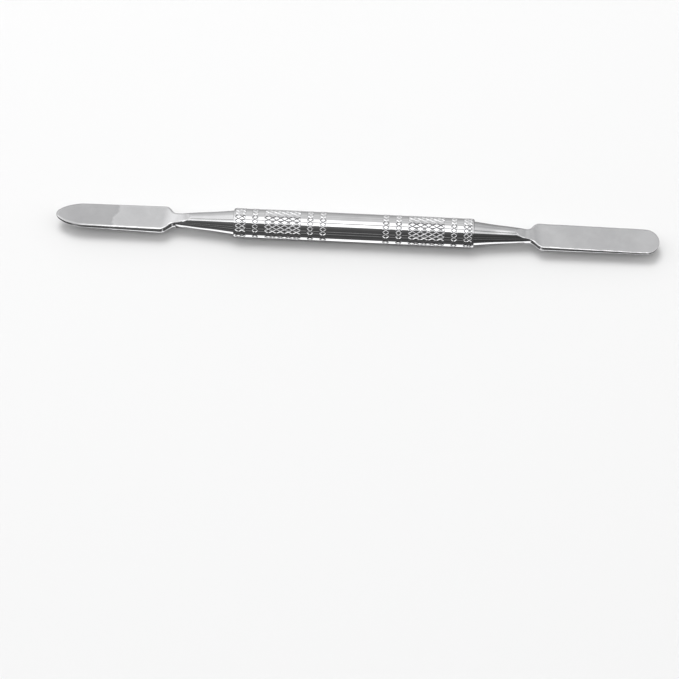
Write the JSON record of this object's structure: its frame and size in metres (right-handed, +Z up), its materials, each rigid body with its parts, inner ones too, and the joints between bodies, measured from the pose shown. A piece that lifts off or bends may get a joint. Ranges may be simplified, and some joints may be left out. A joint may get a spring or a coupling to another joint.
{
  "type": "palette knife",
  "caption": "Double-ended steel palette knife: a knurled round handle with a spear-shaped blade on one end and a round-ended blade on the other, for mixing and scooping paint.",
  "frame": {"origin": "under the middle of the knife's overall length, on the surface it lies on", "axes": "+X along the knife towards the round-ended blade, +Z up out of the blades' top faces, Y across the blades"},
  "size_m": [0.1256, 0.006, 0.006],
  "materials": {
    "handle_steel": "mirror-polished stainless steel with diamond-knurled bands",
    "blade_steel": "mirror-polished stainless steel with faint lengthwise polishing lines"
  },
  "bodies": {
    "root": {"handle_barrel": "handle_steel", "round_blade": "blade_steel", "spear_blade": "blade_steel"}
  },
  "joints": []
}
